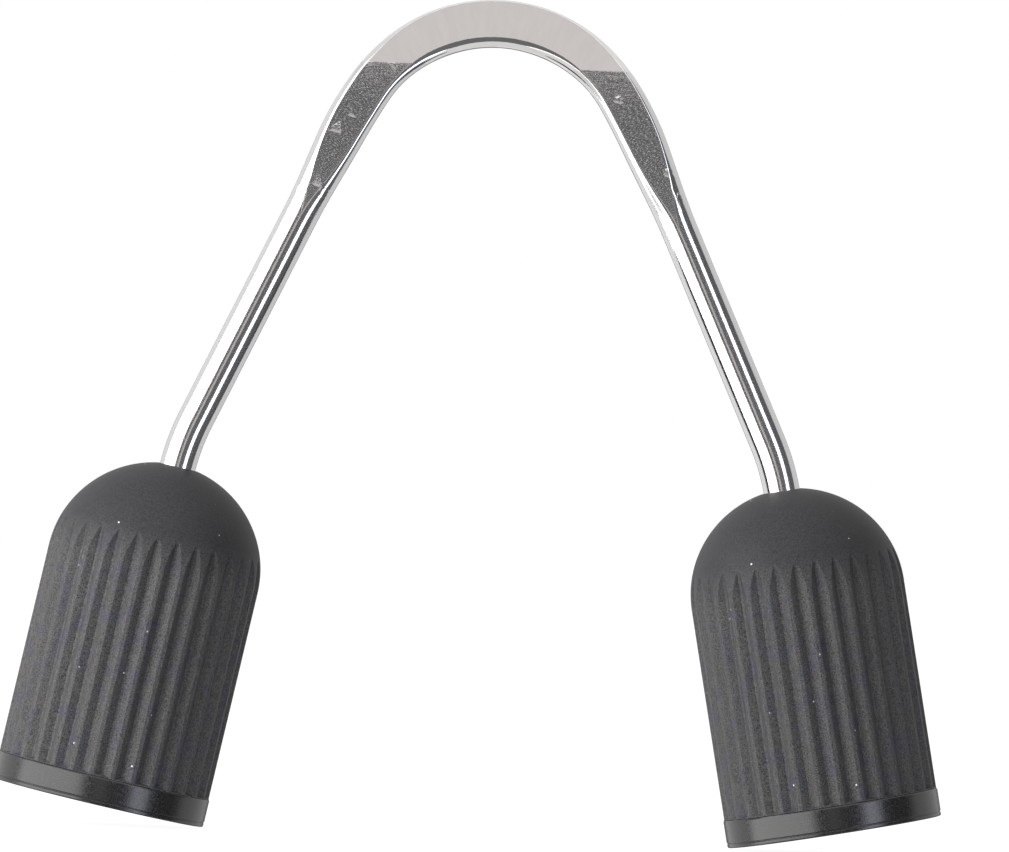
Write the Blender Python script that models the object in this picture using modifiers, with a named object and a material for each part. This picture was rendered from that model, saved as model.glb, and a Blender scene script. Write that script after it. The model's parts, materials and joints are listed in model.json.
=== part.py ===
"""Two-cup bottle lifter: a bent round bar with a pressed-flat grip and a domed cup on each end.

All dimensions are in millimetres and are scaled to metres when geometry is made.
The origin is the underside of the grip at its middle. X runs across the two cups,
Y through the bar's thickness, and Z up. Each cup turns about its own tilted axis.
"""
import math

import bmesh
import bpy
from mathutils import Matrix, Vector

MM = 0.001

# Bar: one round bar bent in a plane, its grip pressed flat front and back.
BAR_R = 3.5
GRIP_HALF_WIDTH = 4.65
GRIP_BEND_R = 28.8
GRIP_BEND_TURN = math.radians(57.2)
SHOULDER_BEND_R = 80.0
ARM_SLOPE = math.radians(65.16)
END_BEND_R = 45.0
FLAT_HALF_THICKNESS = 2.32
PRESS_END_Z = -3.7
TAPER_END_Z = -34.5
# Rows of: distance along the bar from the middle, half width, and how far the flat reaches from the
# centreline towards the outside and the inside of the bend.
GRIP_STATIONS = (
    (0.0, 4.65, 4.45, 2.55),
    (10.0, 4.65, 4.40, 2.50),
    (17.0, 4.50, 4.05, 2.45),
    (24.0, 4.35, 3.35, 2.70),
    (33.0, 4.50, 3.35, 3.05),
    (39.0, 4.42, 3.20, 2.85),
    (44.0, 4.12, 2.70, 2.35),
    (48.0, 3.85, 1.95, 1.65),
    (51.5, 3.65, 1.05, 0.85),
    (54.6, 3.50, 0.00, 0.00),
)
# The outside of the bend meets its flats at a corner: the side stops this far short of a full half
# circle, once the flat is wide enough.
CORNER_TURN = math.radians(25)
CORNER_FLAT = 1.5
SIDE_POINTS = 10
STUD_R = 2.5
STUD_TIP_R = 2.1

# Cup axes: measured along each axis from the rim's bottom face, which is height zero.
CUP_TILT = math.radians(11.1)
RIM_CENTRE_X = 71.5
RIM_CENTRE_Z = -149.26

# Outer rubber sleeve.
SLEEVE_R = 20.85
SLEEVE_INNER_R = 18.3
DOME_CENTRE = 46.35
SLEEVE_BOTTOM = 5.6
SLEEVE_HOLE_R = 3.9
FLUTES = 32
FLUTE_FLOOR_R = 19.8
FLUTE_PEAK_R = 21.17
FLUTE_FLOOR_HALF_ANGLE = math.radians(0.9)

# Rigid core inside the sleeve.
CORE_R = 18.0
CORE_BOTTOM = 1.8
CORE_MOUTH_R = 16.2
CORE_BORE_R = 15.6
MOUTH_TOP = 20.1
HUB_BOTTOM = 52.3
HUB_TOP = 60.5
HUB_BORE_R = 4.3
WASHER_POCKET_R = 6.3

# Retaining ring around the mouth.
RIM_R = 21.0
RIM_INNER_R = 18.3
RIM_LIP_R = 15.2
RIM_HEIGHT = 5.3
RIM_LIP_HEIGHT = 1.5

# Soft neck grip inside the mouth.
GRIP_OUTER_R = 15.9
GRIP_WALL_R = 14.9
GRIP_LIP_R = 13.4
GRIP_TOP = 19.8
LIP_BOTTOMS = (4.0, 9.0, 14.0)

# Cushion that the cap or mouth of the bottle seats on.
PAD_R = 15.3
PAD_BOTTOM = 40.0
PAD_FLOOR = 42.2
PAD_TOP = 52.0
PAD_POCKET_R = 7.2

# Pivot hardware on the bar's stud.
CLEAR_R = 2.8
BAR_SHOULDER = 62.6
UPPER_WASHER = (60.8, 62.3)
LOWER_WASHER = (48.7, 50.2)
WASHER_R = 6.0
BUSH_R = 4.0
BUSH_TOP = 60.5
FLANGE = (50.5, 52.0)
FLANGE_R = 6.0
NUT = (43.9, 48.4)
NUT_FLATS = 8.0
STUD_END = 43.4

MATERIALS = {
    "chrome": ((0.80, 0.80, 0.82), 1.0, 0.12),
    "rubber": ((0.045, 0.045, 0.048), 0.0, 0.75),
    "rim_plastic": ((0.035, 0.035, 0.038), 0.0, 0.30),
    "core_plastic": ((0.06, 0.06, 0.065), 0.0, 0.50),
    "soft_rubber": ((0.03, 0.03, 0.032), 0.0, 0.80),
    "steel": ((0.60, 0.61, 0.63), 1.0, 0.35),
    "nylon": ((0.78, 0.76, 0.70), 0.0, 0.45),
}


def clear_scene():
    for item in list(bpy.data.objects):
        bpy.data.objects.remove(item, do_unlink=True)
    for group in list(bpy.data.collections):
        bpy.data.collections.remove(group)


def make_collection(name):
    group = bpy.data.collections.new(name)
    bpy.context.scene.collection.children.link(group)
    return group


def make_materials():
    made = {}
    for name, (color, metallic, roughness) in MATERIALS.items():
        material = bpy.data.materials.new(name)
        material.use_nodes = True
        shader = material.node_tree.nodes["Principled BSDF"]
        shader.inputs["Base Color"].default_value = (*color, 1.0)
        shader.inputs["Metallic"].default_value = metallic
        shader.inputs["Roughness"].default_value = roughness
        made[name] = material
    return made


def add_object(name, data, material, parent, group):
    item = bpy.data.objects.new(name, data)
    group.objects.link(item)
    if material is not None:
        data.materials.append(material)
    if parent is not None:
        item.parent = parent
    return item


def add_axis(name, side, group):
    """Empty on a cup's turning axis: local Z runs up the axis from the rim's bottom face."""
    axis = bpy.data.objects.new(name, None)
    axis.empty_display_size = 10 * MM
    axis.location = (side * RIM_CENTRE_X * MM, 0.0, RIM_CENTRE_Z * MM)
    axis.rotation_euler = (0.0, -side * CUP_TILT, 0.0)
    group.objects.link(axis)
    return axis


def arc_points(radius, centre, start, end, steps):
    """Points (radius, height) on an arc about the axis point at height centre, angles from the equator."""
    points = []
    for step in range(steps + 1):
        angle = start + (end - start) * step / steps
        points.append((radius * math.cos(angle), centre + radius * math.sin(angle)))
    return points


def turned(name, profile, steps, material, parent, group, closed=True):
    """Revolve a profile of (radius, height) points about the local Z axis."""
    mesh = bpy.data.meshes.new(name)
    verts = [(radius * MM, 0.0, height * MM) for radius, height in profile]
    edges = [(i, i + 1) for i in range(len(verts) - 1)]
    if closed:
        edges.append((len(verts) - 1, 0))
    mesh.from_pydata(verts, edges, [])
    item = add_object(name, mesh, material, parent, group)
    screw = item.modifiers.new("turn", "SCREW")
    screw.axis = "Z"
    screw.angle = 2 * math.pi
    screw.steps = steps
    screw.render_steps = steps
    screw.use_merge_vertices = True
    screw.merge_threshold = 0.00001
    screw.use_normal_calculate = False
    return item


def outline_object(name, outlines, depth, material, parent, group):
    """Extrude flat outlines (outer first, then holes) symmetrically by depth in all."""
    curve = bpy.data.curves.new(name, "CURVE")
    curve.dimensions = "2D"
    curve.fill_mode = "BOTH"
    curve.extrude = depth * MM / 2
    for outline in outlines:
        spline = curve.splines.new("POLY")
        spline.points.add(len(outline) - 1)
        for point, (x, y) in zip(spline.points, outline):
            point.co = (x * MM, y * MM, 0.0, 1.0)
        spline.use_cyclic_u = True
    return add_object(name, curve, material, parent, group)


def as_mesh(item):
    """Replace a curve object with the mesh it makes, its edges welded."""
    graph = bpy.context.evaluated_depsgraph_get()
    mesh = bpy.data.meshes.new_from_object(item.evaluated_get(graph))
    bm = bmesh.new()
    bm.from_mesh(mesh)
    bmesh.ops.remove_doubles(bm, verts=bm.verts, dist=0.000001)
    bm.to_mesh(mesh)
    bm.free()
    solid = bpy.data.objects.new(item.name + "_solid", mesh)
    solid.parent = item.parent
    solid.location = item.location
    item.users_collection[0].objects.link(solid)
    name = item.name
    bpy.data.objects.remove(item, do_unlink=True)
    solid.name = name
    return solid


def circle(radius, count):
    step = 2 * math.pi / count
    return [(radius * math.cos(i * step), radius * math.sin(i * step)) for i in range(count)]


def walk(point, heading, radius, turn, steps):
    """Stations along an arc that turns downward: (point, heading below horizontal, length)."""
    stations = []
    centre = point - Vector((math.sin(heading), math.cos(heading))) * radius
    for step in range(1, steps + 1):
        angle = heading + turn * step / steps
        place = centre + Vector((math.sin(angle), math.cos(angle))) * radius
        stations.append((place, angle, radius * turn * step / steps))
    return stations


def direction(heading):
    return Vector((math.cos(heading), -math.sin(heading)))


def bar_stations():
    """Centreline of the right half of the bar, from its middle to its round end in the cup."""
    start = Vector((0.0, GRIP_HALF_WIDTH))
    path = [(start, 0.0, 0.0)]
    path += walk(start, 0.0, GRIP_BEND_R, GRIP_BEND_TURN, 12)
    point, heading, length = path[-1]
    for place, angle, run in walk(point, heading, SHOULDER_BEND_R, ARM_SLOPE - heading, 3):
        path.append((place, angle, length + run))
    point, heading, length = path[-1]

    # The arm meets the cup's axis at a corner, which the end bend rounds off.
    rim = Vector((RIM_CENTRE_X, RIM_CENTRE_Z))
    up_axis = Vector((-math.sin(CUP_TILT), math.cos(CUP_TILT)))
    along_arm = direction(heading)
    gap = rim - point
    cross = along_arm.x * -up_axis.y + along_arm.y * up_axis.x
    reach = (gap.x * -up_axis.y + gap.y * up_axis.x) / cross
    end_turn = math.pi / 2 - CUP_TILT - heading
    straight = reach - END_BEND_R * math.tan(end_turn / 2)

    for distance, _, _, _ in GRIP_STATIONS:
        run = distance - length
        if run > 1.0:
            path.append((point + along_arm * run, heading, distance))
    path.append((point + along_arm * straight, heading, length + straight))
    bend_start, heading, length = path[-1]
    for place, angle, run in walk(bend_start, heading, END_BEND_R, end_turn, 4):
        path.append((place, angle, length + run))
    shoulder = rim + up_axis * BAR_SHOULDER
    _, heading, length = path[-1]
    path.append((shoulder, heading, length + (shoulder - path[-1][0]).length))
    return path


def grip_section(distance):
    """Half width of the bar and both reaches of its flat at a distance from its middle."""
    if distance >= GRIP_STATIONS[-1][0]:
        return GRIP_STATIONS[-1][1:]
    for low, high in zip(GRIP_STATIONS, GRIP_STATIONS[1:]):
        if distance <= high[0]:
            share = (distance - low[0]) / (high[0] - low[0])
            return tuple(a + (b - a) * share for a, b in zip(low[1:], high[1:]))


def half_thickness(height):
    """Half of the bar's thickness: even where it is pressed flat, then widening to the round bar."""
    share = (PRESS_END_Z - height) / (PRESS_END_Z - TAPER_END_Z)
    return FLAT_HALF_THICKNESS + (BAR_R - FLAT_HALF_THICKNESS) * min(max(share, 0.0), 1.0)


def section_points(half_width, outer_flat, inner_flat):
    """Outline across the bar as (outward, share of half thickness): rounded sides joined by flats."""
    last = math.pi / 2 - math.pi / (2 * SIDE_POINTS)
    corner = min(outer_flat / CORNER_FLAT, 1.0)
    points = []
    for side, flat, end in ((1, outer_flat, last - corner * CORNER_TURN), (-1, inner_flat, last)):
        cut = corner * math.cos(end) if side > 0 else 0.0
        highest = math.sin(end) if outer_flat > 0 else 1.0
        for i in range(SIDE_POINTS):
            angle = side * (-end + 2 * end * i / (SIDE_POINTS - 1))
            along = flat + (half_width - flat) * (math.cos(angle) - cut) / (1 - cut)
            points.append((side * along, math.sin(angle) / highest))
    return points


def make_bar(material, group):
    rings = []
    for place, heading, distance in bar_stations():
        outward = Vector((math.sin(heading), math.cos(heading)))
        ring = []
        for u, share in section_points(*grip_section(distance)):
            at = place + outward * u
            ring.append((at.x, share * half_thickness(at.y), at.y))
        rings.append(ring)

    # Turned-down stud below the shoulder, along the cup's axis.
    rim = Vector((RIM_CENTRE_X, RIM_CENTRE_Z))
    up_axis = Vector((-math.sin(CUP_TILT), math.cos(CUP_TILT)))
    outward = Vector((up_axis.y, -up_axis.x))
    for height, radius in ((BAR_SHOULDER, STUD_R), (STUD_END + 0.5, STUD_R), (STUD_END, STUD_TIP_R)):
        ring = []
        for u, share in section_points(radius, 0.0, 0.0):
            at = rim + up_axis * height + outward * u
            ring.append((at.x, share * radius, at.y))
        rings.append(ring)

    bm = bmesh.new()
    loops = []
    for side in (-1, 1):
        half = reversed(rings) if side < 0 else rings[1:]
        for ring in half:
            loops.append([bm.verts.new((side * x * MM, y * MM, z * MM)) for x, y, z in ring])
    for first, second in zip(loops, loops[1:]):
        for i in range(len(first)):
            j = (i + 1) % len(first)
            bm.faces.new((first[i], first[j], second[j], second[i]))
    bm.faces.new(loops[0])
    bm.faces.new(loops[-1])
    bmesh.ops.recalc_face_normals(bm, faces=bm.faces)
    mesh = bpy.data.meshes.new("handle_bar")
    bm.to_mesh(mesh)
    bm.free()
    return add_object("handle_bar", mesh, material, None, group)


def sleeve_profile():
    outer_top = math.acos(SLEEVE_HOLE_R / SLEEVE_R)
    inner_top = math.acos(SLEEVE_HOLE_R / SLEEVE_INNER_R)
    profile = arc_points(SLEEVE_R, DOME_CENTRE, outer_top, 0.0, 10)
    profile += [(SLEEVE_R, SLEEVE_BOTTOM), (SLEEVE_INNER_R, SLEEVE_BOTTOM)]
    profile += arc_points(SLEEVE_INNER_R, DOME_CENTRE, 0.0, inner_top, 8)
    return profile


def flute_outline():
    """Outline whose notches are the sleeve's grooves: a peak and a narrow floor for each flute."""
    points = []
    pitch = 2 * math.pi / FLUTES
    for i in range(FLUTES):
        middle = i * pitch
        for angle, radius in (
            (middle - FLUTE_FLOOR_HALF_ANGLE, FLUTE_FLOOR_R),
            (middle + FLUTE_FLOOR_HALF_ANGLE, FLUTE_FLOOR_R),
            (middle + pitch / 2, FLUTE_PEAK_R),
        ):
            points.append((radius * math.cos(angle), radius * math.sin(angle)))
    return points


def make_sleeve(side_name, material, parent, group, cutters):
    sleeve = turned(side_name + "_grip_sleeve", sleeve_profile(), 64, material, parent, group)
    height = 2 * DOME_CENTRE
    keeper = outline_object(side_name + "_flute_cutter", [flute_outline()], height, None, parent, cutters)
    keeper.location = (0.0, 0.0, height / 2 * MM)
    keeper = as_mesh(keeper)
    keeper.hide_render = True
    keeper.display_type = "WIRE"
    cut = sleeve.modifiers.new("flutes", "BOOLEAN")
    cut.operation = "INTERSECT"
    cut.solver = "EXACT"
    cut.object = keeper
    return sleeve


def core_profile():
    top = math.acos(WASHER_POCKET_R / CORE_R)
    profile = arc_points(CORE_R, DOME_CENTRE, top, 0.0, 7)
    profile += [
        (CORE_R, CORE_BOTTOM),
        (CORE_MOUTH_R, CORE_BOTTOM),
        (CORE_MOUTH_R, MOUTH_TOP),
        (CORE_BORE_R, MOUTH_TOP + 0.6),
        (CORE_BORE_R, HUB_BOTTOM),
        (HUB_BORE_R, HUB_BOTTOM),
        (HUB_BORE_R, HUB_TOP),
        (WASHER_POCKET_R, HUB_TOP),
    ]
    return profile


def rim_profile():
    return [
        (RIM_INNER_R, RIM_HEIGHT),
        (RIM_R - 0.6, RIM_HEIGHT),
        (RIM_R, RIM_HEIGHT - 0.6),
        (RIM_R, 0.9),
        (RIM_R - 0.3, 0.25),
        (RIM_R - 1.0, 0.0),
        (RIM_LIP_R, 0.0),
        (RIM_LIP_R, RIM_LIP_HEIGHT),
        (RIM_INNER_R, RIM_LIP_HEIGHT),
    ]


def neck_grip_profile():
    profile = [(GRIP_OUTER_R, GRIP_TOP), (GRIP_OUTER_R, CORE_BOTTOM), (GRIP_WALL_R, CORE_BOTTOM)]
    for bottom in LIP_BOTTOMS:
        profile += [(GRIP_WALL_R, bottom), (GRIP_LIP_R, bottom + 2.5), (GRIP_WALL_R, bottom + 3.4)]
    profile.append((GRIP_WALL_R, GRIP_TOP))
    return profile


def pad_profile():
    return [
        (PAD_POCKET_R, PAD_TOP),
        (PAD_R, PAD_TOP),
        (PAD_R, PAD_BOTTOM + 1.0),
        (PAD_R - 1.0, PAD_BOTTOM),
        (0.0, PAD_BOTTOM),
        (0.0, PAD_FLOOR),
        (PAD_POCKET_R, PAD_FLOOR),
    ]


def bush_profile():
    return [
        (CLEAR_R, BUSH_TOP),
        (BUSH_R, BUSH_TOP),
        (BUSH_R, FLANGE[1]),
        (FLANGE_R, FLANGE[1]),
        (FLANGE_R, FLANGE[0]),
        (CLEAR_R, FLANGE[0]),
    ]


def washer_profile(span):
    low, high = span
    return [(CLEAR_R, high), (WASHER_R, high), (WASHER_R, low), (CLEAR_R, low)]


def make_nut(name, material, parent, group):
    corner = NUT_FLATS / 2 / math.cos(math.pi / 6)
    outlines = [circle(corner, 6), circle(CLEAR_R, 24)]
    depth = NUT[1] - NUT[0]
    nut = outline_object(name, outlines, depth, material, parent, group)
    nut.location = (0.0, 0.0, (NUT[0] + NUT[1]) / 2 * MM)
    return as_mesh(nut)


def make_side(side_name, side, mats, group, cutters):
    cup = add_axis(side_name + "_cup_axis", side, group)
    bar_end = add_axis(side_name + "_bar_end", side, group)
    make_sleeve(side_name, mats["rubber"], cup, group, cutters)
    turned(side_name + "_cup_core", core_profile(), 32, mats["core_plastic"], cup, group)
    turned(side_name + "_rim_ring", rim_profile(), 48, mats["rim_plastic"], cup, group)
    turned(side_name + "_neck_grip", neck_grip_profile(), 32, mats["soft_rubber"], cup, group)
    turned(side_name + "_seat_pad", pad_profile(), 32, mats["soft_rubber"], cup, group)
    turned(side_name + "_pivot_bush", bush_profile(), 24, mats["nylon"], cup, group)
    turned(
        side_name + "_upper_washer", washer_profile(UPPER_WASHER), 24, mats["steel"], bar_end, group
    )
    turned(
        side_name + "_lower_washer", washer_profile(LOWER_WASHER), 24, mats["steel"], bar_end, group
    )
    make_nut(side_name + "_lock_nut", mats["steel"], bar_end, group)


def main():
    clear_scene()
    group = make_collection("two_cup_bottle_lifter")
    cutters = make_collection("cutters")
    mats = make_materials()
    make_bar(mats["chrome"], group)
    make_side("left", -1, mats, group, cutters)
    make_side("right", 1, mats, group, cutters)


main()
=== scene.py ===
"""Looks for the two-cup bottle lifter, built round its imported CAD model.

Lengths are in millimetres and are scaled to metres when meshes are made. Cup pieces are made
in their cup's own frame: local Z runs up the swivel axis from the mouth's bottom face.
"""

import json
import math

import bmesh
import bpy
import numpy as np
from mathutils import Matrix, Vector

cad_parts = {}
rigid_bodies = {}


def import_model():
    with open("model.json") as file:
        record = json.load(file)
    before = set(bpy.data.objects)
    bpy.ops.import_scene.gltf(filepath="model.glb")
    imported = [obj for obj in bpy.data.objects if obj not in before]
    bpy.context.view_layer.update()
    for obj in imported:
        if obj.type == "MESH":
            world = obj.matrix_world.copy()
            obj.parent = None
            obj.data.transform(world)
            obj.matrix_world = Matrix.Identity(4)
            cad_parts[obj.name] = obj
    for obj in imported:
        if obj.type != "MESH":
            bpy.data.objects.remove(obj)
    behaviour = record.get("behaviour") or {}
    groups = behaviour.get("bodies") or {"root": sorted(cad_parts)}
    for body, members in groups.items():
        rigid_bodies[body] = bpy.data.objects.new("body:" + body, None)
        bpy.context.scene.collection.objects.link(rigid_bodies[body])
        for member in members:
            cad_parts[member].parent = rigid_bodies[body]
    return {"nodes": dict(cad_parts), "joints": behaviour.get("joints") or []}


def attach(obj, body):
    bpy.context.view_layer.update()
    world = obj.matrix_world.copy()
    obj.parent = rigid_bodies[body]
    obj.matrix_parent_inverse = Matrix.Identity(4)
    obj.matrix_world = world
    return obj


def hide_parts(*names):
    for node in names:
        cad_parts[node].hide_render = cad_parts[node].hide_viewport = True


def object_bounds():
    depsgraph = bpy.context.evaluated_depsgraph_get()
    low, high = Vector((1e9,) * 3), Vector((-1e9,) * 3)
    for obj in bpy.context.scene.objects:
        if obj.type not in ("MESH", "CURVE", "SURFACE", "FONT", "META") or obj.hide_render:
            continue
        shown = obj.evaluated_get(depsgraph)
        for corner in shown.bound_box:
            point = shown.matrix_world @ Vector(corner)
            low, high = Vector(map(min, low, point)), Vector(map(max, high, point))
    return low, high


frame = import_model()
cad_low, cad_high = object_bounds()

MM = 0.001
WELD_DISTANCE = 1e-7

# Handle bar, as in the CAD part.
BAR_R = 3.5
GRIP_HALF_WIDTH = 4.65
GRIP_BEND_R = 28.8
GRIP_BEND_TURN = math.radians(57.2)
SHOULDER_BEND_R = 80.0
ARM_SLOPE = math.radians(65.16)
END_BEND_R = 45.0
BAR_SHOULDER = 62.6
STUD_R = 2.5
STUD_END = 43.4
FLAT_HALF_THICKNESS = 2.32
PRESS_END_Z = -3.7
TAPER_END_Z = -34.5
# Rows of: distance along the bar from the middle, half width, and how far the flat reaches from
# the centreline towards the outside and the inside of the bend.
GRIP_STATIONS = (
    (0.0, 4.65, 4.45, 2.55),
    (10.0, 4.65, 4.40, 2.50),
    (17.0, 4.50, 4.05, 2.45),
    (24.0, 4.35, 3.35, 2.70),
    (33.0, 4.50, 3.35, 3.05),
    (39.0, 4.42, 3.20, 2.85),
    (44.0, 4.12, 2.70, 2.35),
    (48.0, 3.85, 1.95, 1.65),
    (51.5, 3.65, 1.05, 0.85),
    (54.6, 3.50, 0.02, 0.02),
)
STATION_REACH = 90.0
STATION_STEP = 0.25
STATION_SMOOTHING = 2.2
SMOOTHING_STEPS = 24
STUD_TRAVEL = 1.0
# The outer corner between side and flat: its turn, and the flat's reach from which it is full.
CORNER_TURN = math.radians(34)
CORNER_FLAT = 1.5
SIDE_POINTS = 25
FLAT_SHARES = (0.01, 0.04, 0.2, 0.4, 0.6, 0.8, 0.96, 0.99)
BAR_STEP = 0.6
# A round section keeps a flat this small, so that every section has the same points.
ROUND_FLAT = 0.002
STUD_TIP_R = 0.01
# Points at the fold this near to the flat's thickness are put on the flat.
ON_FLAT_SHARE = 0.998

# Cup sleeve.
SLEEVE_R = 20.85
SLEEVE_INNER_R = 18.3
DOME_CENTRE = 46.35
SLEEVE_BOTTOM = 5.45
SLEEVE_HOLE_R = 3.56
HOLE_ROUND = 0.25
FLUTES = 32
FLUTE_FLOOR_R = 19.8
FLUTE_PEAK_R = 21.17
FLUTE_FLOOR_SHARE = 0.12
FLUTE_RAMP = 0.6
FLUTE_RUN_OUT = math.radians(22)
EDGE_SOFTNESS = 0.06
EDGE_SHARE = 0.045
EDGE_GAP = 2.5 * EDGE_SHARE
# Rows of the sleeve this far inside the groove floor are plain, with hardly any softness.
PLAIN_BELOW = 0.5
PLAIN_SOFTNESS = 1e-6
FOOT_HEIGHT = 1.2
TEXTURE_START = 54.0
TEXTURE_FULL = 46.5

# Inside the cup.
CORE_R = 18.0
CORE_BOTTOM = 1.8
CORE_MOUTH_R = 16.2
CORE_BORE_R = 15.6
MOUTH_TOP = 20.1
MOUTH_STEP = 0.6
MOUTH_EDGE = 1.0
HUB_BOTTOM = 52.3
HUB_TOP = 60.5
HUB_BORE_R = 4.3
WASHER_POCKET_R = 6.3
RIM_R = 21.0
RIM_INNER_R = 18.3
RIM_LIP_R = 15.2
GRIP_OUTER_R = 15.9
GRIP_WALL_R = 14.9
GRIP_LIP_R = 13.4
GRIP_TOP = 19.8
LIP_BOTTOMS = (4.0, 9.0, 14.0)
LIP_CREST = 2.5
LIP_HEIGHT = 3.4
PAD_R = 15.3
PAD_BOTTOM = 40.0
PAD_FLOOR = 42.2
PAD_TOP = 52.0
PAD_POCKET_R = 7.2
PAD_GROOVE = 0.5
INNER_WALL_ROW = 20.0

# Closed outlines of (radius, height, rounding).
RIM_OUTLINE = (
    (RIM_INNER_R, 5.40, 0.0),
    (RIM_R - 0.12, 5.40, 0.12),
    (RIM_R, 5.15, 0.15),
    (RIM_R, 1.02, 0.10),
    (RIM_R - 0.16, 0.90, 0.05),
    (RIM_R - 0.16, 0.80, 0.05),
    (RIM_R - 0.04, 0.70, 0.08),
    (RIM_R - 0.08, 0.0, 0.62),
    (RIM_LIP_R, 0.0, 0.45),
    (RIM_LIP_R, 1.5, 0.3),
    (RIM_INNER_R, 1.5, 0.0),
)
PAD_OUTLINE = (
    (PAD_POCKET_R, PAD_TOP, 0.3),
    (PAD_R, PAD_TOP, 0.4),
    (PAD_R, PAD_BOTTOM, 1.2),
    (12.6, PAD_BOTTOM, 0.3),
    (12.2, PAD_BOTTOM + PAD_GROOVE, 0.2),
    (11.4, PAD_BOTTOM + PAD_GROOVE, 0.2),
    (11.0, PAD_BOTTOM, 0.3),
    (0.0, PAD_BOTTOM, 0.0),
    (0.0, PAD_FLOOR, 0.0),
    (PAD_POCKET_R, PAD_FLOOR, 0.3),
)
# A rounding takes at most this share of the sides it joins. An extra point beside it, at this
# distance or share of the side, keeps the shading crisp.
ROUNDING_SHARE = 0.45
ROUNDING_STEPS = 5
SUPPORT_EDGE = 0.12
SUPPORT_SHARE = 0.04

# Points round a turned piece.
SEGMENTS = 128
RIM_SEGMENTS = 256
PAD_SEGMENTS = 96


# ---------------------------------------------------------------- meshes


def mesh_from(name, points, faces):
    """A bare mesh from points in millimetres."""
    mesh = bpy.data.meshes.new(name)
    mesh.from_pydata([(x * MM, y * MM, z * MM) for x, y, z in points], [], faces)
    return mesh


def weld(bm):
    bmesh.ops.remove_doubles(bm, verts=bm.verts, dist=WELD_DISTANCE)


def mesh_object(name, mesh, change):
    """An object of the mesh after one change, smooth-shaded and with its faces turned outward."""
    bm = bmesh.new()
    bm.from_mesh(mesh)
    change(bm)
    bmesh.ops.recalc_face_normals(bm, faces=bm.faces)
    for face in bm.faces:
        face.smooth = True
    bm.to_mesh(mesh)
    bm.free()
    item = bpy.data.objects.new(name, mesh)
    bpy.context.scene.collection.objects.link(item)
    return item


def ring_faces(rows, columns, closed):
    """Quads between neighbouring rings of points; closed joins the last ring to the first."""
    faces = []
    for row in range(rows if closed else rows - 1):
        below = (row + 1) % rows
        for column in range(columns):
            beside = (column + 1) % columns
            faces.append(
                (
                    row * columns + column,
                    row * columns + beside,
                    below * columns + beside,
                    below * columns + column,
                )
            )
    return faces


def rounded(corners):
    """Closed outline through (radius, height, rounding) corners, each corner rounded off."""
    outline = []
    count = len(corners)
    for i, (radius, height, rounding) in enumerate(corners):
        corner = Vector((radius, height))
        if rounding <= 0:
            outline.append(tuple(corner))
            continue
        before = Vector(corners[i - 1][:2]) - corner
        after = Vector(corners[(i + 1) % count][:2]) - corner
        reach = min(rounding, ROUNDING_SHARE * before.length, ROUNDING_SHARE * after.length)
        start = corner + before.normalized() * reach
        end = corner + after.normalized() * reach
        lead_in = before.normalized() * min(SUPPORT_EDGE, SUPPORT_SHARE * before.length)
        lead_out = after.normalized() * min(SUPPORT_EDGE, SUPPORT_SHARE * after.length)
        outline.append(tuple(start + lead_in))
        for step in range(ROUNDING_STEPS + 1):
            t = step / ROUNDING_STEPS
            outline.append(tuple(start * (1 - t) ** 2 + corner * 2 * t * (1 - t) + end * t ** 2))
        outline.append(tuple(end + lead_out))
    return outline


def lathe(name, outline, segments=SEGMENTS):
    """Turn a closed (radius, height) outline about local Z."""
    turn = np.arange(segments) * 2 * math.pi / segments
    points = []
    for radius, height in outline:
        for angle in turn:
            points.append((radius * math.cos(angle), radius * math.sin(angle), height))
    faces = ring_faces(len(outline), segments, True)
    return mesh_object(name, mesh_from(name, points, faces), weld)


def soft_min(a, b, softness):
    """The lower of two values, with the corner between them rounded."""
    blend = np.clip(0.5 + 0.5 * (b - a) / softness, 0, 1)
    return b + (a - b) * blend - softness * blend * (1 - blend)


# ---------------------------------------------------------------- handle bar


def bend(point, heading, radius, turn, distance):
    """Point and heading after a run along an arc that turns downward."""
    centre = point - Vector((math.sin(heading), math.cos(heading))) * radius
    angle = heading + min(distance / radius, turn)
    return centre + Vector((math.sin(angle), math.cos(angle))) * radius, angle


def bar_path(rim, axis):
    """Stations (point, heading, distance) down the right half of the bar's centreline."""
    segments = []
    point, heading = Vector((0.0, GRIP_HALF_WIDTH)), 0.0
    for radius, turn in (
        (GRIP_BEND_R, GRIP_BEND_TURN),
        (SHOULDER_BEND_R, ARM_SLOPE - GRIP_BEND_TURN),
    ):
        segments.append((point, heading, radius, turn, radius * turn))
        point, heading = bend(point, heading, radius, turn, radius * turn)

    arm = Vector((math.cos(heading), -math.sin(heading)))
    gap = rim - point
    cross = arm.y * axis.x - arm.x * axis.y
    reach = (gap.y * axis.x - gap.x * axis.y) / cross
    end_turn = math.atan2(axis.y, -axis.x) - heading
    straight = reach - END_BEND_R * math.tan(end_turn / 2)
    segments.append((point, heading, 0.0, 0.0, straight))
    point = point + arm * straight
    segments.append((point, heading, END_BEND_R, end_turn, END_BEND_R * end_turn))
    point, heading = bend(point, heading, END_BEND_R, end_turn, END_BEND_R * end_turn)
    shoulder = rim + axis * BAR_SHOULDER
    segments.append((point, heading, 0.0, 0.0, (shoulder - point).length))

    stations = [(segments[0][0], 0.0, 0.0)]
    travelled = 0.0
    for start, heading, radius, turn, length in segments:
        steps = max(1, round(length / BAR_STEP))
        for step in range(1, steps + 1):
            run = length * step / steps
            if radius > 0:
                place, angle = bend(start, heading, radius, turn, run)
            else:
                place = start + Vector((math.cos(heading), -math.sin(heading))) * run
                angle = heading
            stations.append((place, angle, travelled + run))
        travelled += length
    return stations


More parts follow.
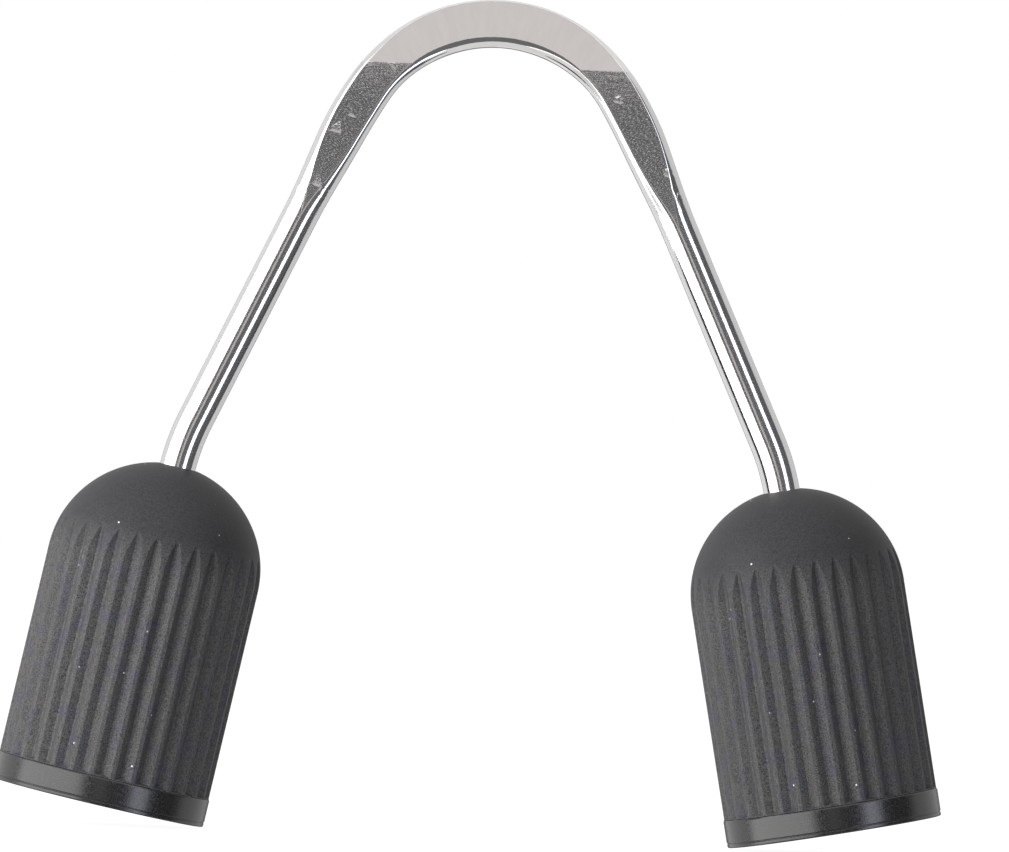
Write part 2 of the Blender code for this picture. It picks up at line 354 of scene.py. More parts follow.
def smooth_stations(column):
    """One column of the grip's table as a smooth function of distance along the bar."""
    distance = np.arange(-STATION_REACH, STATION_REACH, STATION_STEP)
    known = [row[0] for row in GRIP_STATIONS]
    values = np.interp(np.abs(distance), known, [row[column] for row in GRIP_STATIONS])
    offsets = np.arange(-SMOOTHING_STEPS, SMOOTHING_STEPS + 1) * STATION_STEP
    kernel = np.exp(-0.5 * (offsets / STATION_SMOOTHING) ** 2)
    kernel /= kernel.sum()
    padded = np.pad(values, SMOOTHING_STEPS, mode="edge")
    return distance, np.convolve(padded, kernel, mode="valid")


def half_thickness(height):
    """Half of the bar's thickness where it is flat: even in the grip, then widening to the round."""
    share = (PRESS_END_Z - height) / (PRESS_END_Z - TAPER_END_Z)
    return FLAT_HALF_THICKNESS + (BAR_R - FLAT_HALF_THICKNESS) * min(max(share, 0.0), 1.0)


def bar_section(half_width, outer_flat, inner_flat):
    """Outline across the bar as (outward, share of the half thickness).

    The outside of the bend meets its flats at a corner; the inside is rounded into them.
    """
    corner = min(outer_flat / CORNER_FLAT, 1.0)
    end = math.pi / 2 - corner * CORNER_TURN
    cut = corner * math.cos(end)
    outer = half_width - outer_flat
    points = []
    for angle in np.linspace(-end, end, SIDE_POINTS):
        across = outer_flat + outer * (math.cos(angle) - cut) / (1 - cut)
        points.append((across, math.sin(angle) / math.sin(end)))
    points += [(outer_flat - (outer_flat + inner_flat) * share, 1.0) for share in FLAT_SHARES]
    for angle in np.linspace(-math.pi / 2, math.pi / 2, SIDE_POINTS):
        across = -inner_flat - (half_width - inner_flat) * math.cos(angle)
        points.append((across, -math.sin(angle)))
    points += [((outer_flat + inner_flat) * share - inner_flat, -1.0) for share in FLAT_SHARES]
    return points


def right_half_rings(rim, axis):
    """Rings of points down the bar's right half to the stud's tip, and each ring's distance."""
    tables = [smooth_stations(column) for column in (1, 2, 3)]
    rings = []
    travel = []
    for place, heading, distance in bar_path(rim, axis):
        outward = Vector((math.sin(heading), math.cos(heading)))
        sizes = [float(np.interp(distance, known, values)) for known, values in tables]
        ring = []
        for u, v in bar_section(*sizes):
            at = place + outward * u
            ring.append((at.x, v * half_thickness(at.y), at.y))
        rings.append(ring)
        travel.append(distance)

    outward = Vector((axis.y, -axis.x))
    for height, radius in ((BAR_SHOULDER, STUD_R), (STUD_END, STUD_R), (STUD_END, STUD_TIP_R)):
        ring = []
        for u, v in bar_section(radius, ROUND_FLAT, ROUND_FLAT):
            at = rim + axis * height + outward * u
            ring.append((at.x, v * radius, at.y))
        rings.append(ring)
        travel.append(travel[-1] + STUD_TRAVEL)
    return rings, travel


def make_bar(rim, axis):
    """The whole bar, with its points' distances along and around it kept for the chrome's grain."""
    rings, travel = right_half_rings(rim, axis)
    left = [[(-x, y, z) for x, y, z in ring] for ring in reversed(rings)]
    rows = left + rings[1:]
    travel = [-distance for distance in reversed(travel)] + travel[1:]
    columns = len(rings[0])
    last_row = (len(rows) - 1) * columns
    faces = ring_faces(len(rows), columns, False)
    faces += [tuple(range(columns)), tuple(range(last_row, last_row + columns))]
    mesh = mesh_from("handle", [point for row in rows for point in row], faces)
    grain = mesh.attributes.new("grain", "FLOAT_VECTOR", "POINT")
    around = 2 * math.pi * BAR_R / columns
    values = [(distance, i * around, 0.0) for distance in travel for i in range(columns)]
    grain.data.foreach_set("vector", np.array(values, np.float32).ravel())
    return mesh_object("handle", mesh, fold_flats)


def fold_flats(bm):
    """Cut the level line where the pressed flats start to taper, and crease it across them."""
    level = PRESS_END_Z * MM
    everything = list(bm.verts) + list(bm.edges) + list(bm.faces)
    cut = bmesh.ops.bisect_plane(
        bm,
        geom=everything,
        dist=WELD_DISTANCE,
        plane_co=(0.0, 0.0, level),
        plane_no=(0.0, 0.0, 1.0),
    )
    flat = FLAT_HALF_THICKNESS * MM
    for piece in cut["geom_cut"]:
        if isinstance(piece, bmesh.types.BMVert) and abs(piece.co.y) > flat * ON_FLAT_SHARE:
            piece.co.y = math.copysign(flat, piece.co.y)
    for piece in cut["geom_cut"]:
        if isinstance(piece, bmesh.types.BMEdge):
            off_flat = [abs(abs(vert.co.y) - flat) > WELD_DISTANCE for vert in piece.verts]
            piece.smooth = any(off_flat)


# ---------------------------------------------------------------- cup pieces


def share_at(radius):
    """How far from a groove's middle, as a share of half a flute, its wall stands at a radius."""
    climb = (radius - FLUTE_FLOOR_R) / (FLUTE_PEAK_R - FLUTE_FLOOR_R)
    return FLUTE_FLOOR_SHARE + (1 - FLUTE_FLOOR_SHARE) * min(max(climb, 0.0), 1.0)


def fluted_ring(radius, floor_radius):
    """Angles and radii of one row of the sleeve, its points close together at groove edges."""
    crest = max(share_at(radius), FLUTE_FLOOR_SHARE + EDGE_GAP)
    floor = min(share_at(floor_radius), crest - EDGE_GAP)
    half = [floor - EDGE_SHARE, floor, floor + EDGE_SHARE, (floor + crest) / 2]
    half += [crest - EDGE_SHARE, crest, crest + EDGE_SHARE, (crest + 1) / 2, 1.0]
    shares = np.array([-share for share in reversed(half[:-1])] + [0.0] + half)
    pitch = 2 * math.pi / FLUTES
    turn = np.concatenate([(flute + shares / 2) * pitch for flute in range(FLUTES)])

    climb = np.clip((np.abs(shares) - FLUTE_FLOOR_SHARE) / (1 - FLUTE_FLOOR_SHARE), 0, 1)
    wall = np.maximum(FLUTE_FLOOR_R + (FLUTE_PEAK_R - FLUTE_FLOOR_R) * climb, floor_radius)
    softness = EDGE_SOFTNESS if radius > FLUTE_FLOOR_R - PLAIN_BELOW else PLAIN_SOFTNESS
    radii = soft_min(np.full(len(shares), radius), wall, softness)
    return turn, np.tile(radii, FLUTES)


def sleeve_rows():
    """(plain radius, height) down the sleeve's outside, close together where the flutes end."""
    top = math.acos((SLEEVE_HOLE_R + HOLE_ROUND) / SLEEVE_R)
    foot = SLEEVE_BOTTOM + FOOT_HEIGHT
    on_dome = list(np.linspace(top, FLUTE_RUN_OUT, 26)[:-1])
    on_dome += list(np.linspace(FLUTE_RUN_OUT, 0, 44))
    rows = []
    for angle in on_dome:
        rows.append((SLEEVE_R * math.cos(angle), DOME_CENTRE + SLEEVE_R * math.sin(angle)))
    on_wall = list(np.linspace(DOME_CENTRE, foot, 12)[1:])
    on_wall += list(np.linspace(foot, SLEEVE_BOTTOM, 13)[1:])
    for height in on_wall:
        rows.append((SLEEVE_R, height))
    return rows


def make_sleeve(name):
    """Fluted dome: hole lip, outside, bottom edge and inside, as one closed run of rings."""
    rings = []

    def add_plain(radius, height):
        turn = fluted_ring(radius, FLUTE_FLOOR_R)[0]
        rings.append((turn, np.full(len(turn), radius), height))

    # Lip of the hole round the bar, rounded over into the dome.
    dome_edge = SLEEVE_HOLE_R + HOLE_ROUND
    edge_height = DOME_CENTRE + math.sqrt(SLEEVE_R ** 2 - dome_edge ** 2)
    for angle in np.linspace(0, math.pi / 2, 7)[:-1]:
        drop = HOLE_ROUND * (1 - math.sin(angle))
        add_plain(dome_edge - HOLE_ROUND * math.cos(angle), edge_height - drop)
    for radius, height in sleeve_rows():
        ramp = (FLUTE_PEAK_R - FLUTE_FLOOR_R) * (1 - (height - SLEEVE_BOTTOM) / FLUTE_RAMP)
        turn, radii = fluted_ring(radius, FLUTE_FLOOR_R + max(ramp, 0.0))
        rings.append((turn, radii, height))
    for height in (SLEEVE_BOTTOM, INNER_WALL_ROW, DOME_CENTRE):
        add_plain(SLEEVE_INNER_R, height)
    inner_top = math.acos(SLEEVE_HOLE_R / SLEEVE_INNER_R)
    for angle in np.linspace(0, inner_top, 9)[1:]:
        height = DOME_CENTRE + SLEEVE_INNER_R * math.sin(angle)
        add_plain(SLEEVE_INNER_R * math.cos(angle), height)

    points = []
    for turn, radii, height in rings:
        xs, ys = radii * np.cos(turn), radii * np.sin(turn)
        points += [(x, y, height) for x, y in zip(xs, ys)]
    faces = ring_faces(len(rings), len(rings[0][0]), True)
    return mesh_object(name, mesh_from(name, points, faces), weld)


def make_rim(name):
    """Smooth band round the mouth, with a fine groove above its rounded bottom bead."""
    return lathe(name, rounded(RIM_OUTLINE), RIM_SEGMENTS)


def make_core(name):
    """Stiff inner cup: a dome with a hub for the pivot, open at the mouth."""
    top = math.acos(WASHER_POCKET_R / CORE_R)
    outline = []
    for angle in np.linspace(top, 0, 16):
        outline.append((CORE_R * math.cos(angle), DOME_CENTRE + CORE_R * math.sin(angle)))
    outline += [
        (CORE_R, CORE_BOTTOM),
        (CORE_MOUTH_R, CORE_BOTTOM),
        (CORE_MOUTH_R, MOUTH_TOP),
        (CORE_BORE_R, MOUTH_TOP + MOUTH_STEP),
        (CORE_BORE_R, MOUTH_TOP + MOUTH_EDGE),
        (CORE_BORE_R, HUB_BOTTOM),
        (HUB_BORE_R, HUB_BOTTOM),
        (HUB_BORE_R, HUB_TOP),
        (WASHER_POCKET_R, HUB_TOP),
    ]
    return lathe(name, outline)


def make_neck_grip(name):
    """Soft ring with three lips that lean up towards the cushion."""
    corners = [
        (GRIP_OUTER_R, GRIP_TOP, 0.3),
        (GRIP_OUTER_R, CORE_BOTTOM, 0.3),
        (GRIP_WALL_R, CORE_BOTTOM, 0.4),
    ]
    for bottom in LIP_BOTTOMS:
        corners += [
            (GRIP_WALL_R, bottom, 0.6),
            (GRIP_LIP_R, bottom + LIP_CREST, 0.5),
            (GRIP_WALL_R, bottom + LIP_HEIGHT, 0.4),
        ]
    corners.append((GRIP_WALL_R, GRIP_TOP, 0.4))
    return lathe(name, rounded(corners))


def make_seat_pad(name):
    """Cushion with a shallow ring groove in its face and a pocket over the nut."""
    return lathe(name, rounded(PAD_OUTLINE), PAD_SEGMENTS)


# ---------------------------------------------------------------- materials


class Shader:
    """A new material and short ways to add nodes to it. Depths of bumps are in millimetres."""

    def __init__(self, name, metallic=0.0, specular=0.5):
        self.material = bpy.data.materials.new(name)
        self.material.use_nodes = True
        self.tree = self.material.node_tree
        self.base = self.tree.nodes["Principled BSDF"]
        self.base.inputs["Metallic"].default_value = metallic
        self.base.inputs["Specular IOR Level"].default_value = specular
        self.place = self.tree.nodes.new("ShaderNodeTexCoord").outputs["Object"]

    def link(self, source, target):
        self.tree.links.new(source, target)

    def height(self):
        node = self.tree.nodes.new("ShaderNodeSeparateXYZ")
        self.link(self.place, node.inputs["Vector"])
        return node.outputs["Z"]

    def product(self, a, b):
        node = self.tree.nodes.new("ShaderNodeMath")
        node.operation = "MULTIPLY"
        self.link(a, node.inputs[0])
        self.link(b, node.inputs[1])
        return node.outputs["Value"]

    def attribute(self, name):
        node = self.tree.nodes.new("ShaderNodeAttribute")
        node.attribute_name = name
        return node.outputs["Vector"]

    def stretched(self, vector, scale):
        node = self.tree.nodes.new("ShaderNodeMapping")
        node.inputs["Scale"].default_value = scale
        self.link(vector, node.inputs["Vector"])
        return node.outputs["Vector"]

    def noise(self, scale, detail=2.0, roughness=0.5, vector=None):
        """Noise with its scale in repeats per metre, or per millimetre along the bar's grain."""
        node = self.tree.nodes.new("ShaderNodeTexNoise")
        node.inputs["Scale"].default_value = scale
        node.inputs["Detail"].default_value = detail
        node.inputs["Roughness"].default_value = roughness
        self.link(vector or self.place, node.inputs["Vector"])
        return node.outputs["Fac"]

    def specks(self, scale):
        """Distance from scattered points, as a share of their spacing."""
        node = self.tree.nodes.new("ShaderNodeTexVoronoi")
        node.inputs["Scale"].default_value = scale
        self.link(self.place, node.inputs["Vector"])
        return node.outputs["Distance"]

    def spread(self, value, low, high, to_low, to_high):
        """A value mapped from one range to another and held inside it."""
        node = self.tree.nodes.new("ShaderNodeMapRange")
        node.inputs["From Min"].default_value = low
        node.inputs["From Max"].default_value = high
        node.inputs["To Min"].default_value = to_low
        node.inputs["To Max"].default_value = to_high
        self.link(value, node.inputs["Value"])
        return node.outputs["Result"]

    def share(self, value, none, full):
        """0 where the value is at none, 1 where it is at full."""
        return self.spread(value, none, full, 0.0, 1.0)

    def ramp(self, value, stops):
        node = self.tree.nodes.new("ShaderNodeValToRGB")
        points = node.color_ramp.elements
        while len(points) < len(stops):
            points.new(0.5)
        for point, (position, color) in zip(points, stops):
            point.position = position
            point.color = (*color, 1.0)
        self.link(value, node.inputs["Fac"])
        return node.outputs["Color"]

    def mix(self, factor, a, b):
        node = self.tree.nodes.new("ShaderNodeMix")
        node.data_type = "RGBA"
        self.link(factor, node.inputs["Factor"])
        for socket, value in ((node.inputs["A"], a), (node.inputs["B"], b)):
            if isinstance(value, tuple):
                socket.default_value = (*value, 1.0)
            else:
                self.link(value, socket)
        return node.outputs["Result"]

    def surface(self, tone, stops, grain, low, high):
        """Colour from one noise, and roughness between low and high from another."""
        self.link(self.ramp(tone, stops), self.base.inputs["Base Color"])
        self.link(self.spread(grain, *NOISE_RANGE, low, high), self.base.inputs["Roughness"])

    def bumps(self, *layers):
        """Stack bump layers of (height, depth)."""
        normal = None
        for height, depth in layers:
            node = self.tree.nodes.new("ShaderNodeBump")
            node.inputs["Strength"].default_value = 1.0
            node.inputs["Distance"].default_value = depth * MM
            self.link(height, node.inputs["Height"])
            if normal is not None:
                self.link(normal, node.inputs["Normal"])
            normal = node.outputs["Normal"]
        self.link(normal, self.base.inputs["Normal"])


# Noise keeps mostly inside this range.
NOISE_RANGE = (0.3, 0.7)
# Noise values between which a patch starts and is full.
DENT_PATCH = (0.60, 0.64)
BLUISH_PATCH = (0.50, 0.64)
# Patches and spots where pale specks are painted on the rubber as glints, a painted sparkle.
GLINT_PATCH = (0.59, 0.61)
GLINT_SPOT = (0.06, 0.10)

# Colours as (noise value, colour there) stops.
CLEAN_CHROME = ((0.35, (0.850, 0.848, 0.848)), (0.65, (0.885, 0.885, 0.885)))
PITTED_CHROME = ((0.38, (0.60, 0.595, 0.595)), (0.60, (0.90, 0.90, 0.90)))
DOME_RUBBER = ((0.36, (0.007, 0.0066, 0.0076)), (0.64, (0.032, 0.0308, 0.0336)))
WALL_RUBBER = ((0.37, (0.006, 0.0058, 0.006)), (0.63, (0.071, 0.069, 0.069)))
BLUISH_RUBBER = ((0.37, (0.006, 0.0056, 0.009)), (0.63, (0.062, 0.060, 0.077)))
BAND_PLASTIC = ((0.36, (0.005, 0.0049, 0.0054)), (0.64, (0.013, 0.0127, 0.0138)))
SOFT_RUBBER = ((0.30, (0.018, 0.018, 0.019)), (0.70, (0.028, 0.028, 0.029)))
CORE_PLASTIC = ((0.30, (0.045, 0.045, 0.048)), (0.70, (0.060, 0.060, 0.063)))
PLATED_STEEL = ((0.30, (0.52, 0.53, 0.54)), (0.70, (0.66, 0.66, 0.67)))
NATURAL_NYLON = ((0.30, (0.70, 0.67, 0.60)), (0.70, (0.80, 0.78, 0.72)))
PALE_FLOOR = ((0.30, (0.11, 0.11, 0.11)), (0.70, (0.13, 0.13, 0.13)))
# Grey of the painted sparkle: pale specks on the rubber that stand for glints.
PAINTED_GLINT_COLOUR = (0.42, 0.42, 0.43)
FLOOR_GLOW = 0.95

# Heights in millimetres over which a look changes.
WORN_EDGE = 0.05
DENTS_END_Z = -33.0
DENTS_FULL_Z = -27.0
FOLD_SCRATCHES_END_Z = -14.0
BAND_MATT_Z = 0.05
BAND_GLOSSY_Z = 0.25

# Roughness of the band's underside, and of the glossy band at its grain's low and high side.
BAND_UNDERSIDE = 0.82
BAND_LOW = 0.12
BAND_HIGH = 0.32


def chrome_material():
    """Bright plate: clean on the pressed crown, finely pitted and scratched below it."""
    s = Shader("bright_chrome", metallic=1.0)
    along = s.attribute("grain")
    scratches = s.noise(1.0, 4.0, 0.6, s.stretched(s.place, (250.0, 250.0, 4200.0)))
    pits = s.noise(6.5, 2.0, 0.7, along)
    waves = s.noise(0.5, 2.0, 0.5, along)
    patches = s.noise(190.0, 1.0)
    worn = s.share(s.height(), (PRESS_END_Z + WORN_EDGE) * MM, (PRESS_END_Z - WORN_EDGE) * MM)
    on_flats = s.product(s.share(s.height(), DENTS_END_Z * MM, DENTS_FULL_Z * MM), worn)
    dents = s.product(s.share(patches, *DENT_PATCH), s.noise(1300.0, 2.0, 0.6))
    clean = s.ramp(waves, CLEAN_CHROME)
    pitted = s.ramp(pits, PITTED_CHROME)
    s.link(s.mix(worn, clean, pitted), s.base.inputs["Base Color"])
    pitting = s.product(pits, s.spread(worn, 0.0, 1.0, 0.8, 1.0))
    s.link(s.spread(pitting, 0.50, 0.70, 0.05, 0.30), s.base.inputs["Roughness"])
    fold = s.product(s.share(s.height(), FOLD_SCRATCHES_END_Z * MM, PRESS_END_Z * MM), worn)
    s.bumps(
        (waves, 0.012),
        (scratches, 0.002),
        (s.product(scratches, fold), 0.010),
        (pits, 0.0016),
        (s.product(dents, on_flats), 0.05),
    )
    return s.material


def rubber_material():
    """Smooth over the dome; paler, rougher and spark-textured down the fluted wall, with painted
    sparkle: sparse pale specks painted into the colour as glints.
    """
    s = Shader("moulded_rubber", specular=0.30)
    textured = s.share(s.height(), TEXTURE_START * MM, TEXTURE_FULL * MM)
    cloud = s.noise(170.0, 3.0)
    tint = s.noise(260.0, 3.0, 0.6)
    grain = s.noise(4200.0, 3.0, 0.75)
    neutral = s.ramp(grain, WALL_RUBBER)
    bluish = s.ramp(grain, BLUISH_RUBBER)
    wall = s.mix(s.share(tint, *BLUISH_PATCH), neutral, bluish)
    body = s.mix(textured, s.ramp(grain, DOME_RUBBER), wall)
    # Painted sparkle: sparse pale specks painted into the colour as glints.
    sparse = s.share(s.noise(260.0, 1.0), *GLINT_PATCH)
    painted_glints = s.product(s.spread(s.specks(420.0), *GLINT_SPOT, 1.0, 0.0), sparse)
    s.link(s.mix(painted_glints, body, PAINTED_GLINT_COLOUR), s.base.inputs["Base Color"])
    s.link(s.spread(grain, *NOISE_RANGE, 0.46, 0.62), s.base.inputs["Roughness"])
    texture = s.product(grain, s.spread(textured, 0.0, 1.0, 0.35, 1.0))
    s.bumps((cloud, 0.03), (texture, 0.05))
    return s.material


def rim_material():
    """Glossy band with a fine tooling grain and a matt underside."""
    s = Shader("smooth_band", specular=0.72)
    outside = s.share(s.height(), BAND_MATT_Z * MM, BAND_GLOSSY_Z * MM)
    cloud = s.noise(220.0, 3.0)
    grain = s.noise(3000.0, 3.0, 0.7)
    s.link(s.ramp(grain, BAND_PLASTIC), s.base.inputs["Base Color"])
    polish = s.spread(grain, 0.36, 0.64, BAND_UNDERSIDE - BAND_LOW, BAND_UNDERSIDE - BAND_HIGH)
    rough = s.spread(s.product(outside, polish), 0.0, 1.0, BAND_UNDERSIDE, BAND_UNDERSIDE - 1.0)
    s.link(rough, s.base.inputs["Roughness"])
    s.bumps((cloud, 0.02), (grain, 0.016))
    return s.material


def soft_rubber_material():
    s = Shader("soft_grip_rubber", specular=0.4)
    grain = s.noise(1800.0, 3.0, 0.6)
    s.surface(s.noise(240.0, 3.0), SOFT_RUBBER, grain, 0.62, 0.80)
    s.bumps((grain, 0.02))
    return s.material


def core_material():
    s = Shader("core_moulding", specular=0.5)
    grain = s.noise(1500.0, 2.0)
    s.surface(s.noise(130.0, 2.0), CORE_PLASTIC, grain, 0.40, 0.52)
    s.bumps((grain, 0.01))
    return s.material


def steel_material():
    s = Shader("plated_steel", metallic=1.0)
    lines = s.noise(1.0, 4.0, 0.6, s.stretched(s.place, (300.0, 300.0, 4000.0)))
    s.surface(lines, PLATED_STEEL, lines, 0.26, 0.42)
    s.bumps((lines, 0.004))
    return s.material


def nylon_material():
    s = Shader("natural_nylon", specular=0.45)
    cloud = s.noise(300.0, 3.0)
    s.surface(cloud, NATURAL_NYLON, cloud, 0.38, 0.50)
    s.bumps((cloud, 0.01))
    return s.material


def floor_material():
    """Matt white with a faint cloud; it glows, so that it reads as an even pale ground."""
    s = Shader("pale_floor", specular=0.0)
    s.link(s.ramp(s.noise(6.0, 2.0), PALE_FLOOR), s.base.inputs["Base Color"])
    s.base.inputs["Roughness"].default_value = 0.9
    s.base.inputs["Emission Color"].default_value = (1.0, 1.0, 1.0, 1.0)
    s.base.inputs["Emission Strength"].default_value = FLOOR_GLOW
    return s.material


def paint(item, material):
    item.data.materials.clear()
    item.data.materials.append(material)


# ---------------------------------------------------------------- build

MATERIALS = {
    "rubber": rubber_material(),
    "rim_plastic": rim_material(),
    "soft_rubber": soft_rubber_material(),
    "core_plastic": core_material(),
    "steel": steel_material(),
    "nylon": nylon_material(),
}
CUP_PIECES = (
    ("grip_sleeve", "rubber", make_sleeve),
    ("rim_ring", "rim_plastic", make_rim),
    ("cup_core", "core_plastic", make_core),
    ("neck_grip", "soft_rubber", make_neck_grip),
    ("seat_pad", "soft_rubber", make_seat_pad),
)
CAD_PIECES = (
    ("pivot_bush", "nylon"),
    ("upper_washer", "steel"),
    ("lower_washer", "steel"),
    ("lock_nut", "steel"),
)


def build_handle(joint):
    """The bar, from the right-hand joint's place and axis; its left half mirrors the right."""
    rim = Vector((joint["pos_m"][0], joint["pos_m"][2])) / MM
    axis = Vector((joint["axis"][0], joint["axis"][2])).normalized()
    bar = make_bar(rim, axis)
    paint(bar, chrome_material())
    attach(bar, joint["parent"])
    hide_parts("handle_bar")


def build_cup(joint):
    """One cup's pieces, placed on its joint, and the looks of its small CAD pieces."""
    side = joint["child"].split("_")[0]
    lean = math.atan2(joint["axis"][0], joint["axis"][2])
    place = Matrix.Translation(Vector(joint["pos_m"])) @ Matrix.Rotation(lean, 4, "Y")
    for part, slot, make in CUP_PIECES:
        piece = make(side + "_" + part + "_look")
        piece.matrix_world = place
        paint(piece, MATERIALS[slot])
        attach(piece, joint["child"])
        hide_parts(side + "_" + part)
    for part, slot in CAD_PIECES:
        paint(frame["nodes"][side + "_" + part], MATERIALS[slot])


for joint in frame["joints"]:
    if joint["pos_m"][0] > 0:
        build_handle(joint)
    build_cup(joint)


# ---------------------------------------------------------------- studio

# Lengths in the studio are in metres.
FLOOR_SIZE = 12.0
FLOOR_GAP = 0.0005


def make_floor():
    bpy.ops.mesh.primitive_plane_add(size=FLOOR_SIZE, location=(0.0, 0.0, cad_low.z - FLOOR_GAP))
    floor = bpy.context.active_object
    floor.name = "floor"
    paint(floor, floor_material())
    floor.visible_glossy = False


# Studio brightness by direction round the object. All angles are in degrees: round it from the
# front, left negative, and up from level.
PALE_LEFT = (0.90, 0.90, 0.90)
PALE_RIGHT = (0.70, 0.70, 0.70)
SOFTBOX_RIM = (0.42, 0.41, 0.41)
SOFTBOX = (3.0, 2.98, 2.92)
SOFTBOX_LEFT = -97.0
SOFTBOX_RIGHT = -22.0
DARK = (0.15, 0.148, 0.15)
STRIP = (2.6, 2.7, 3.1)
SIDE_DARK = (0.12, 0.12, 0.125)
STUDIO = (
    (-180, PALE_LEFT),
    (-106, PALE_LEFT),
    (-101, SOFTBOX_RIM),
    (SOFTBOX_LEFT, SOFTBOX),
    (SOFTBOX_RIGHT, SOFTBOX),
    (-17, DARK),
    (31, DARK),
    (35, STRIP),
    (49, STRIP),
    (54, SIDE_DARK),
    (93, SIDE_DARK),
    (98, PALE_RIGHT),
    (180, PALE_RIGHT),
)
STUDIO_PEAK = 3.5
# The softbox is dimmer below an edge that falls away from the front.
LOW_SOFTBOX = (0.80, 0.79, 0.78)
LOW_EDGE = -8.0
LOW_SLOPE = -0.28
# A card in front of the object, facing it, and a dark one low behind it.
CARD = (0.67, 0.63, 0.62)
CARD_HALF_WIDTH = 7.0
CARD_BOTTOM = -5.0
CARD_TOP = 3.6
BACK_CARD = (0.22, 0.22, 0.22)
BACK_CARD_EDGE = 158.0
BACK_CARD_BOTTOM = -42.0
BACK_CARD_TOP = 8.0
# A ceiling that comes lower in front and behind than at the sides, dimmer from the sides back.
CEILING = (1.10, 1.09, 1.075)
REAR_CEILING = (0.80, 0.79, 0.785)
REAR_EDGE = 68.0
CEILING_EDGE = 9.5
CEILING_SLOPE = 0.35
# A pale ground.
GROUND = (0.74, 0.72, 0.71)
GROUND_TOP = -55.0


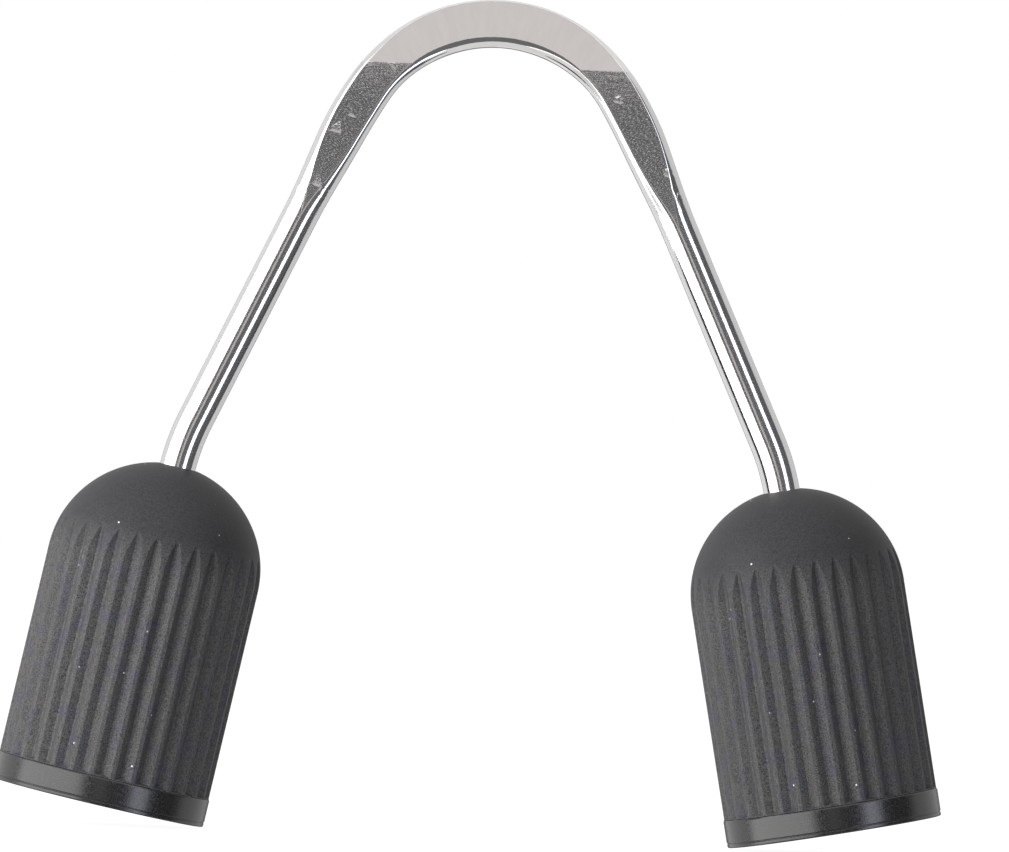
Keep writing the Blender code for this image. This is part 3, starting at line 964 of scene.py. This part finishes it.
def make_world():
    """Plain studio that lights and is mirrored by the object; the camera itself sees white."""
    world = bpy.data.worlds.new("studio")
    bpy.context.scene.world = world
    world.use_nodes = True
    nodes, links = world.node_tree.nodes, world.node_tree.links
    nodes.clear()

    def math_node(operation, a, b=None):
        node = nodes.new("ShaderNodeMath")
        node.operation = operation
        for socket, value in zip(node.inputs, (a, b)):
            if value is None:
                continue
            if isinstance(value, (int, float)):
                socket.default_value = value
            else:
                links.new(value, socket)
        return node.outputs[0]

    def between(value, low, high):
        above_low = math_node("GREATER_THAN", value, low)
        return math_node("MULTIPLY", above_low, math_node("LESS_THAN", value, high))

    def scaled(color):
        return (*[channel / STUDIO_PEAK for channel in color], 1.0)

    def paint_over(color, where, new_color):
        mix = nodes.new("ShaderNodeMix")
        mix.data_type = "RGBA"
        links.new(where, mix.inputs["Factor"])
        links.new(color, mix.inputs["A"])
        mix.inputs["B"].default_value = scaled(new_color)
        return mix.outputs["Result"]

    direction = nodes.new("ShaderNodeTexCoord").outputs["Generated"]
    split = nodes.new("ShaderNodeSeparateXYZ")
    links.new(direction, split.inputs[0])
    x, y, z = split.outputs
    toward = math_node("MULTIPLY", y, -1.0)
    azimuth = math_node("MULTIPLY", math_node("ARCTAN2", x, toward), math.degrees(1))
    share = math_node("DIVIDE", math_node("ADD", azimuth, 180.0), 360.0)
    elevation = math_node("MULTIPLY", math_node("ARCSINE", z), math.degrees(1))

    ramp = nodes.new("ShaderNodeValToRGB")
    points = ramp.color_ramp.elements
    while len(points) < len(STUDIO):
        points.new(0.5)
    for point, (degrees, color) in zip(points, STUDIO):
        point.position = (degrees + 180) / 360
        point.color = scaled(color)
    links.new(share, ramp.inputs["Fac"])

    card = math_node(
        "MULTIPLY",
        between(azimuth, -CARD_HALF_WIDTH, CARD_HALF_WIDTH),
        between(elevation, CARD_BOTTOM, CARD_TOP),
    )
    away = math_node("ABSOLUTE", azimuth)
    back_card = math_node(
        "MULTIPLY",
        math_node("GREATER_THAN", away, BACK_CARD_EDGE),
        between(elevation, BACK_CARD_BOTTOM, BACK_CARD_TOP),
    )
    aside = math_node("MINIMUM", away, math_node("SUBTRACT", 180.0, away))
    edge = math_node("ADD", math_node("MULTIPLY", aside, CEILING_SLOPE), CEILING_EDGE)
    low_edge = math_node("ADD", math_node("MULTIPLY", away, LOW_SLOPE), LOW_EDGE)
    low = math_node(
        "MULTIPLY",
        between(azimuth, SOFTBOX_LEFT, SOFTBOX_RIGHT),
        math_node("LESS_THAN", elevation, low_edge),
    )
    color = paint_over(ramp.outputs["Color"], card, CARD)
    color = paint_over(color, low, LOW_SOFTBOX)
    color = paint_over(color, back_card, BACK_CARD)
    above = math_node("GREATER_THAN", elevation, edge)
    color = paint_over(color, above, CEILING)
    behind = math_node("MULTIPLY", above, math_node("GREATER_THAN", away, REAR_EDGE))
    color = paint_over(color, behind, REAR_CEILING)
    color = paint_over(color, math_node("LESS_THAN", elevation, GROUND_TOP), GROUND)

    studio = nodes.new("ShaderNodeBackground")
    links.new(color, studio.inputs["Color"])
    studio.inputs["Strength"].default_value = STUDIO_PEAK
    white = nodes.new("ShaderNodeBackground")
    white.inputs["Color"].default_value = (1.0, 1.0, 1.0, 1.0)
    seen = nodes.new("ShaderNodeLightPath").outputs["Is Camera Ray"]
    choose = nodes.new("ShaderNodeMixShader")
    links.new(seen, choose.inputs[0])
    links.new(studio.outputs[0], choose.inputs[1])
    links.new(white.outputs[0], choose.inputs[2])
    output = nodes.new("ShaderNodeOutputWorld")
    links.new(choose.outputs[0], output.inputs["Surface"])


SIDE_LIGHT_POWER = 7.8
SIDE_LIGHT_PLACE = Vector((-0.50, -0.34, 0.10))
SIDE_LIGHT_SIZE = 0.35


def make_side_light():
    """A soft light from the left for the rubber; the chrome doesn't mirror it."""
    data = bpy.data.lights.new("side_light", "AREA")
    data.energy = SIDE_LIGHT_POWER
    data.size = SIDE_LIGHT_SIZE
    light = bpy.data.objects.new("side_light", data)
    bpy.context.scene.collection.objects.link(light)
    light.location = SIDE_LIGHT_PLACE
    target = (cad_low + cad_high) / 2
    light.rotation_euler = (target - SIDE_LIGHT_PLACE).to_track_quat("-Z", "Y").to_euler()
    light.visible_glossy = False
    light.visible_camera = False


CAMERA_DISTANCE = 3.0
CLIP_START = 0.1
CLIP_END = 50.0
VIEW_WIDTH = 0.1957
VIEW_CENTRE = (0.0044, -0.0732)
ROLL = math.radians(2.3)


def make_camera():
    """A far camera straight in front, rolled a little as the object hangs slightly tilted."""
    data = bpy.data.cameras.new("camera")
    camera = bpy.data.objects.new("camera", data)
    bpy.context.scene.collection.objects.link(camera)
    data.lens = data.sensor_width * CAMERA_DISTANCE / VIEW_WIDTH
    data.clip_start = CLIP_START
    data.clip_end = CLIP_END
    camera.location = (VIEW_CENTRE[0], -CAMERA_DISTANCE, VIEW_CENTRE[1])
    level = Matrix.Rotation(math.pi / 2, 4, "X")
    camera.rotation_euler = (Matrix.Rotation(-ROLL, 4, "Y") @ level).to_euler()
    bpy.context.scene.camera = camera


make_floor()
make_world()
make_side_light()
make_camera()
bpy.context.scene.view_settings.view_transform = "Standard"
